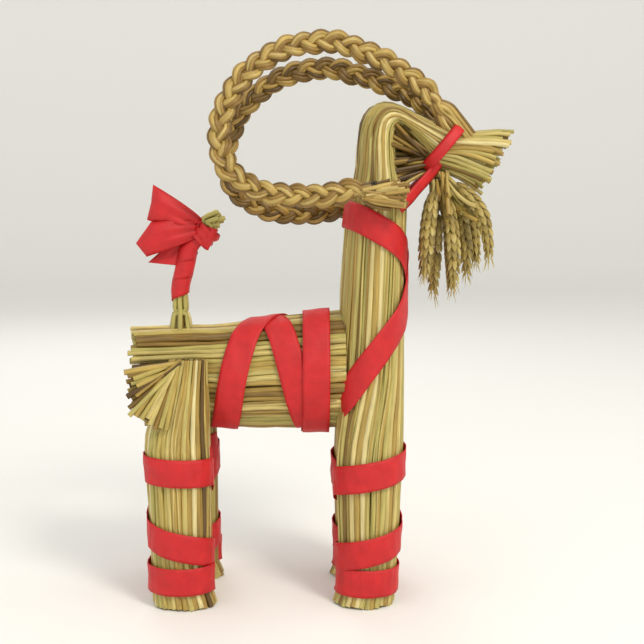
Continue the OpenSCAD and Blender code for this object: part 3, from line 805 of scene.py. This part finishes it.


# ---- Tail ----
# A few straws rise out of the rump, are wound with ribbon and bend over forwards; their cut
# ends stick out past the bow. At the root they splay into the rump.

TAIL_STEPS, ROOT_STEPS = 40, 5
tail_points = [Vector((-61.0, 0, 124)) * MM]
for lean, z in ((0.0, 128.5), (0.0, 133.5), (0.2, 139), (0.3, 145), (0.35, 151), (0.5, 157.0)):
    tail_points.append(middle_of(cut_outline("tail_straws", (-0.057, 0, z * MM), (-lean * 0.5, 0, 1))))
tail_points += [Vector((-49.8, 0, 161.2)) * MM, Vector((-44.6, 0, 163.2)) * MM]
tail_line, tail_length = smooth_run(tail_points, TAIL_STEPS)
axes = axes_along(tail_line, [Vector((0, 1, 0))] * TAIL_STEPS)
bundle = new_bundle()
template = hollow_straw(TAIL_STEPS + ROOT_STEPS - 1)
for ring, (count, reach) in enumerate(((7, 2.35), (2, 0.6))):
    for i in range(count):
        angle = math.tau * (i + 0.25 + 0.5 * ring) / count
        x, y = math.cos(angle) * reach, math.sin(angle) * reach
        root = tail_line[0] + Vector((x * 1.9, y * 1.5, -9)) * MM
        above = tail_line[0] + Vector((x * 1.25, y * 1.1, 0)) * MM
        run = [root.lerp(above, k / ROOT_STEPS) for k in range(ROOT_STEPS)]
        for k, place in enumerate(tail_line):
            out, flat = axes[k]
            snug = reach * (1.2 - 0.3 * min(1, k / 8) + 0.45 * max(0, (k - 31) / 8))
            run.append(place + flat * (math.cos(angle) * snug * MM) + out * (math.sin(angle) * snug * MM))
        way = (run[-1] - run[-2]).normalized()
        run[-1] = run[-2] + way * dice.uniform(0.5, 4.5) * MM
        outs = [Vector((math.cos(angle), math.sin(angle), 0.01)) for _ in run]
        lay_straw(bundle, template, run, outs, [1.05 * MM] * len(run), dice.betavariate(2.2, 1.8))
template.free()
tail_piece = finish_piece("tail", bundle, straw_skin, None, ["tail_straws"])
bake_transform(tail_piece)


# ---- Ribbons on the neck, trunk and legs ----
# Woven red ribbon 11.6 mm wide, wound tightly over the bundles and crossed; the ends are tucked
# under. Each ribbon is laid on the straw, and the later turns lie over the earlier ones.

RIBBON_WIDTH, RIBBON_THICK = 11.6 * MM, 0.32 * MM
CROSS = 9


def woven_ribbon(name):
    """Woven polyester ribbon: fine ribs across its width and a soft satin sheen."""
    material, tree = new_material(name)
    cloth = add(tree, "UVMap", uv_map="cloth").outputs["UV"]
    # Ribs 0.55 mm apart and threads 0.42 mm apart: a little coarser than real, so that they show.
    split = add(tree, "SeparateXYZ", {"Vector": cloth})
    ribs, threads = (maths(tree, "SINE", maths(tree, "MULTIPLY", split.outputs[way], math.tau / (apart * MM)))
                     for way, apart in (("X", 0.55), ("Y", 0.42)))
    height = maths(tree, "MULTIPLY_ADD", maths(tree, "MULTIPLY", ribs, threads), 0.5, ribs)
    wear = add(tree, "TexNoise", {"Vector": cloth, "Scale": 1 / (6 * MM), "Detail": 3.0})
    tone = add(tree, "MapRange", {"Value": wear.outputs["Fac"], "From Min": 0.2, "From Max": 0.8})
    base = add(tree, "ValToRGB", {"Fac": tone.outputs["Result"]})
    base.color_ramp.elements[0].color = linear("#B40A12")
    base.color_ramp.elements[1].color = linear("#D2161A")
    # The rib crests are painted lighter and the grooves darker: a painted highlight and painted shade on the
    # weave.
    painted_rib_shine = add(tree, "MapRange", {"Value": height, "From Min": -1.2, "From Max": 1.2,
                                   "To Min": 0.86, "To Max": 1.08})
    colour = add(tree, "VectorMath", {0: base.outputs["Color"], "Scale": painted_rib_shine.outputs["Result"]},
                 operation="SCALE")
    bump = add(tree, "Bump", {"Height": height, "Strength": 0.35, "Distance": 0.08 * MM})
    return with_surface(material, {
        "Base Color": colour.outputs["Vector"], "Roughness": 0.5, "Sheen Weight": 0.12,
        "Sheen Roughness": 0.4, "Sheen Tint": linear("#FF6A5A"), "Normal": bump.outputs["Normal"]})


red_ribbon = woven_ribbon("woven_red_ribbon")


def wrapped_surface(*nodes):
    """A surface to lay ribbon on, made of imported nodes."""
    verts, faces = [], []
    for node in nodes:
        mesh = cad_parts[node].data
        first = len(verts)
        verts += [v.co.copy() for v in mesh.vertices]
        faces += [[first + i for i in p.vertices] for p in mesh.polygons]
    return BVHTree.FromPolygons(verts, faces)


def cloth_strip(name, rows, body, nodes, flat_width=RIBBON_WIDTH):
    """Makes a ribbon from rows of points across its width, with a cloth map as wide as it was cut."""
    wide = len(rows[0])
    bm = bmesh.new()
    bmesh.ops.create_grid(bm, x_segments=len(rows) - 1, y_segments=wide - 1, size=0.5)
    cloth = bm.loops.layers.uv.new("cloth")
    far = [0.0]
    for a, b in zip(rows, rows[1:]):
        far.append(far[-1] + sum((q - p).length for p, q in zip(a, b)) / wide)
    for v in bm.verts:
        i, j = round((v.co.x + 0.5) * (len(rows) - 1)), round((v.co.y + 0.5) * (wide - 1))
        v.co = rows[i][j]
        for corner in v.link_loops:
            corner[cloth].uv = (far[i], flat_width * j / (wide - 1))
    piece = finish_piece(name, bm, red_ribbon, body, nodes, crisp=False)
    thick = piece.modifiers.new("thickness", "SOLIDIFY")
    thick.thickness, thick.offset = RIBBON_THICK, 0.0
    return piece


def along_path(path, t):
    """The place on a path of (degrees, place) rows at some degrees, rounded at the corners."""
    def straight(at):
        for (a, p), (b, q) in zip(path, path[1:]):
            if at <= b:
                return p + (q - p) * (at - a) / (b - a)
        return path[-1][1]
    near = [straight(min(max(t + d, path[0][0]), path[-1][0])) for d in (-14, -7, 0, 7, 14)]
    return sum(near) / 5


def wind_ribbon(name, onto, path, centre, spread, lifts, nodes, hand=1, upright=True, tuck=True):
    """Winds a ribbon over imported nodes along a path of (degrees round, place) rows.

    spread is the bundle's two half widths, lifts says in (degrees, millimetres) rows where it lies
    over other ribbon, hand the way it turns, and tuck sinks both its ends into the straw."""
    surface = wrapped_surface(*onto)
    first, last = path[0][0], path[-1][0]
    steps = round((last - first) / 4)
    turns = [first + (last - first) * i / steps for i in range(steps + 1)]
    around = (spread[0] + spread[1]) / 2 * MM * math.pi / 180
    places = [along_path(path, t) * MM for t in turns]
    hits = []
    for i, t in enumerate(turns):
        a, b = max(i - 1, 0), min(i + 1, len(turns) - 1)
        run = Vector(((turns[b] - turns[a]) * around, places[b] - places[a])).normalized()
        row = []
        for j in range(CROSS):
            w = RIBBON_WIDTH * (j / (CROSS - 1) - 0.5)
            angle = math.radians(t - run.y * w / around)
            x, y = spread[0] * math.cos(angle), hand * spread[1] * math.sin(angle)
            look = Vector((x, y, 0) if upright else (0, y, -x)).normalized()
            middle = centre(places[i] + run.x * w)
            hit = surface.ray_cast(middle + look * 0.08, -look)[0]
            row.append((middle, look, (hit - middle).length if hit else (hits[-1][j][2] if hits else 0.015)))
        hits.append(row)
    rows = []
    for i, row in enumerate(hits):
        close = min(i, len(hits) - 1 - i)
        points = []
        for j, (middle, look, _) in enumerate(row):
            near = [hits[min(max(i + d, 0), len(hits) - 1)][j][2] for d in range(-3, 4)]
            reach = sum(near) / len(near)
            lift = 0.42 + along_path(lifts, turns[i])
            lift += 0.1 * math.sin(i * 0.5 + j * 0.9) + 0.08 * math.sin(i * 1.3)
            if tuck and close < 3:
                lift -= (3 - close) * 0.7
            points.append(middle + look * (reach + lift * MM))
        rows.append(points)
    return cloth_strip(name, rows, "goat", nodes)


def neck_middle(z):
    return Vector(((20.2 + 3.2 * max(0, (z / MM - 80) / 100)) * MM, 0, z))


NECK = ["front_bundle_left", "front_bundle_right"]
NECK_PATH = [(185, 166), (240, 163), (300, 155), (340, 148), (360, 138), (380, 127), (430, 112),
             (470, 98), (510, 82)]
for side, hand, over in (("left", 1, 0.0), ("right", -1, 0.5)):
    wind_ribbon(f"{side}_neck_ribbon", NECK, NECK_PATH, neck_middle, (14, 20),
                [(185, over), (510, over)], [f"neck_lacing_{side}"], hand)


def trunk_middle(x):
    return Vector((x, 0, 0.0965))


TRUNK_PATH = [(12, -43), (90, -38), (150, -31), (180, -24), (210, -19), (270, -12), (348, -4)]
for side, hand, over in (("left", 1, 0.0), ("right", -1, 0.5)):
    wind_ribbon(f"{side}_trunk_ribbon", ["trunk_bundle"], TRUNK_PATH, trunk_middle, (25, 17),
                [(12, over), (348, over)], [f"trunk_lacing_{side}"], hand, upright=False)
wind_ribbon("ribbon_round_trunk", ["trunk_bundle"], [(0, -3.4), (180, -2.6), (372, -2.8)], trunk_middle,
            (25, 17), [(0, 0.9), (340, 0.9), (372, 1.4)], ["girth_ribbon"], upright=False, tuck=False)

FRONT_PATH = [(0, 11.4), (180, 11.2), (360, 11), (540, 20), (720, 29.4), (900, 52.2), (1080, 60.9),
              (1140, 63.4)]
FRONT_LIFTS = [(0, 0), (300, 0), (420, 0.5), (1140, 0.5)]
HIND_PATH = [(0, 61.5), (180, 59.6), (360, 57.4), (540, 32.8), (720, 22), (900, 12.6), (1080, 12.4)]
HIND_LIFTS = [(0, 0), (700, 0), (860, 0.5), (1080, 0.5)]
for side, hand, sign in (("left", -1, 1), ("right", 1, -1)):
    def front_leg_middle(z):
        return Vector((0.0195, sign * (17 - max(0, (z / MM - 30) * 0.1)) * MM, z))

    def hind_leg_middle(z):
        return Vector((-0.0604, sign * 0.017, z))

    wind_ribbon(f"{side}_front_leg_ribbon", [f"front_bundle_{side}"], FRONT_PATH, front_leg_middle,
                (13.5, 11.5), FRONT_LIFTS, [f"leg_ribbon_front_{side}"], hand)
    wind_ribbon(f"{side}_hind_leg_ribbon", [f"hind_leg_{side}", f"haunch_{side}"], HIND_PATH,
                hind_leg_middle, (14, 11), HIND_LIFTS, [f"leg_ribbon_hind_{side}"], hand)


# ---- Ribbon on the head ----
# Narrower here because it is folded in two lengthwise. It ties the muzzle over the horns' ends
# and runs down on both sides of the throat to the lacing of the neck.

FOLDED_WIDTH = 4.8 * MM


def lay_folded(name, line, faces, nodes):
    """Lays a ribbon folded in two along a line, its face turned outwards."""
    rows = []
    for k, place in enumerate(line):
        way = (line[min(k + 1, len(line) - 1)] - line[max(k - 1, 0)]).normalized()
        face = (faces[k] - way * faces[k].dot(way)).normalized()
        across = way.cross(face)
        row = []
        for j in range(CROSS):
            t = j / (CROSS - 1)
            above = 0.45 * MM if t > 0.5 else 0.22 * MM * (t == 0.5)
            row.append(place + across * FOLDED_WIDTH * (abs(2 * t - 1) - 0.5) + face * above)
        rows.append(row)
    return cloth_strip(name, rows, "goat", nodes)


muzzle_low, muzzle_high = Vector((44.6, 0, 182.9)) * MM, Vector((59.6, 0, 201.1)) * MM
tie_middle, tie_reach = (muzzle_low + muzzle_high) / 2, (muzzle_high - muzzle_low) / 2
tie_axis = Vector((tie_reach.z, 0, -tie_reach.x)).normalized()
tie, looks = [], []
for i in range(61):
    turn = math.tau * (i / 60) * 1.04 + 1.2
    c, s = math.cos(turn), math.sin(turn)
    up, aside = math.copysign(abs(c) ** 0.86, c), math.copysign(abs(s) ** 0.86, s)
    reach = tie_reach * up + Vector((0, 12.0 * MM, 0)) * aside
    tie.append(tie_middle + reach * (1 + 0.03 * (i / 60)) - tie_axis * (2.2 * MM - 1.0 * MM * i / 60))
    looks.append(reach.normalized())
lay_folded("ribbon_round_muzzle", tie, looks, ["muzzle_ribbon"])
THROAT_PATH = [(50, 6.0, 188), (46.8, 7.0, 183.2), (42.8, 9.2, 178.8), (39, 11.6, 174.8),
               (35.8, 14.4, 171.2), (31.5, 17.8, 167.5)]
for side, sign in BOTH_SIDES:
    run, _ = smooth_run([Vector((x, sign * y, z)) * MM for x, y, z in THROAT_PATH], 26)
    lay_folded(f"{side}_throat_ribbon", run, [Vector((0.6, sign, -0.2))] * 26, [f"throat_ribbon_{side}"])


# ---- Ribbon and bow on the tail ----
# The same ribbon winds up the tail and ends in a bow: two folded loops and a loose end behind,
# a small loop in front, all gathered under a knot.

def tail_place(far):
    """The middle of the tail and its two cross axes, a distance up from its root."""
    k = min(max(far / tail_length * (TAIL_STEPS - 1), 0), TAIL_STEPS - 1.001)
    i = int(k)
    here = tail_line[i].lerp(tail_line[i + 1], k - i)
    way = (tail_line[i + 1] - tail_line[i]).normalized()
    side = Vector((0, 1, 0))
    return here, way.cross(side).normalized() * -1, side


def wind_tail(name, start, climb, turns, radius, grow, width, node, pleats=0.0):
    """Winds ribbon round the tail from start to start + climb, in millimetres along it."""
    steps = round(turns * 40)
    around = radius * MM
    run = Vector((math.tau * radius * turns, climb)).normalized()
    rows = []
    for i in range(steps + 1):
        t = i / steps
        row = []
        for j in range(CROSS):
            w = width * (j / (CROSS - 1) - 0.5)
            angle = math.tau * turns * t - run.y * w / around + 2.0
            here, flat, side = tail_place(start * MM + climb * MM * t + run.x * w)
            crumple = pleats * math.sin(j * 1.9 + 2.5 * t) + 0.07 * math.sin(i * 0.9)
            reach = (radius + grow * t + crumple) * MM
            row.append(here + (flat * math.cos(angle) + side * math.sin(angle)) * reach)
        rows.append(row)
    return cloth_strip(name, rows, "tail", [node], RIBBON_WIDTH if pleats else width)


wind_tail("ribbon_up_tail", start=8.2, climb=20.0, turns=2.6, radius=3.75, grow=0.35, width=10.8 * MM,
          node="tail_ribbon")
wind_tail("knot_of_bow", start=35.2, climb=1.0, turns=1.3, radius=5.0, grow=0.8, width=7.2 * MM,
          node="bow_knot", pleats=0.5)


def bow_loop(name, node, root, pinch, corners, point, depth, middle_y, loop=True):
    """A loop of ribbon: gathered at its root, out to a fold between two corners, and back."""
    a, b = (Vector((x, 0, z)) * MM for x, z in corners)
    root, pinch, point = (Vector((v[0], 0, v[1])) * MM for v in (root, pinch, point))
    steps = 44 if loop else 22
    rows = []
    for i in range(steps + 1):
        s = i / steps
        out = (1 - math.cos(math.tau * s)) / 2 if loop else s
        lift = math.sin(math.tau * s) if loop else 0.35 * math.sin(3.2 * s)
        row = []
        for j in range(CROSS):
            w = 2 * j / (CROSS - 1) - 1
            middle = root.lerp((a + b) / 2, out ** 0.6) + point * (1 - abs(w)) * out ** 5
            place = middle + pinch.lerp((a - b) / 2, out ** 0.35) * w
            crown = depth * lift * (1 - 0.45 * w * w)
            pleat = 1.25 * math.cos(2.6 * math.pi * w) * (1 - out) ** 1.5
            wave = 0.35 * math.sin(2.2 * w + 5 * out)
            row.append(place + Vector((0, (middle_y + crown + pleat + wave) * MM, 0)))
        rows.append(row)
    return cloth_strip(name, rows, "tail", [node] if node else [])


bow_loop("upper_bow_loop", "bow_loop_upper", root=(-52.8, 160.2), pinch=(1.6, 2.4),
         corners=((-71.6, 177.4), (-74.4, 162.6)), point=(0.6, 0), depth=4.0, middle_y=-2.6)
bow_loop("lower_bow_loop", "bow_loop_lower", root=(-53.4, 158.6), pinch=(-0.4, 2.6),
         corners=((-72.6, 161.6), (-74.6, 147.0)), point=(-5.4, -1.6), depth=3.6, middle_y=-3.8)
bow_loop("small_bow_loop", "bow_end", root=(-52.6, 157.6), pinch=(1.4, 2.2),
         corners=((-44.4, 158.4), (-48.8, 149.6)), point=(0, 0), depth=2.2, middle_y=-3.2)
bow_loop("bow_loose_end", None, root=(-54.6, 157.4), pinch=(-2.0, 1.6),
         corners=((-74.6, 144.4), (-62.4, 143.2)), point=(0, 0), depth=1.6, middle_y=-1.4,
         loop=False)


# ---- Binding wire ----
# Thin annealed iron wire bound twice round each bundle. The ribbons hide most of it.

def annealed_wire():
    """Annealed iron wire: nearly black metal with a browner oxide in patches."""
    material, tree = new_material("annealed_wire")
    place = add(tree, "TexCoord").outputs["Object"]
    patches = add(tree, "TexNoise", {"Vector": place, "Scale": 1 / (2.5 * MM), "Detail": 3.0})
    shade = add(tree, "ValToRGB", {"Fac": patches.outputs["Fac"]})
    shade.color_ramp.elements[0].color = linear("#2E2923")
    shade.color_ramp.elements[1].color = linear("#5F574C")
    rough = add(tree, "MapRange", {"Value": patches.outputs["Fac"], "To Min": 0.6, "To Max": 0.35})
    return with_surface(material, {
        "Base Color": shade.outputs["Color"], "Metallic": 1.0, "Roughness": rough.outputs["Result"]})


wire_metal = annealed_wire()
for name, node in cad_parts.items():
    if "_wire" in name:
        for slot in node.material_slots:
            slot.material = wire_metal
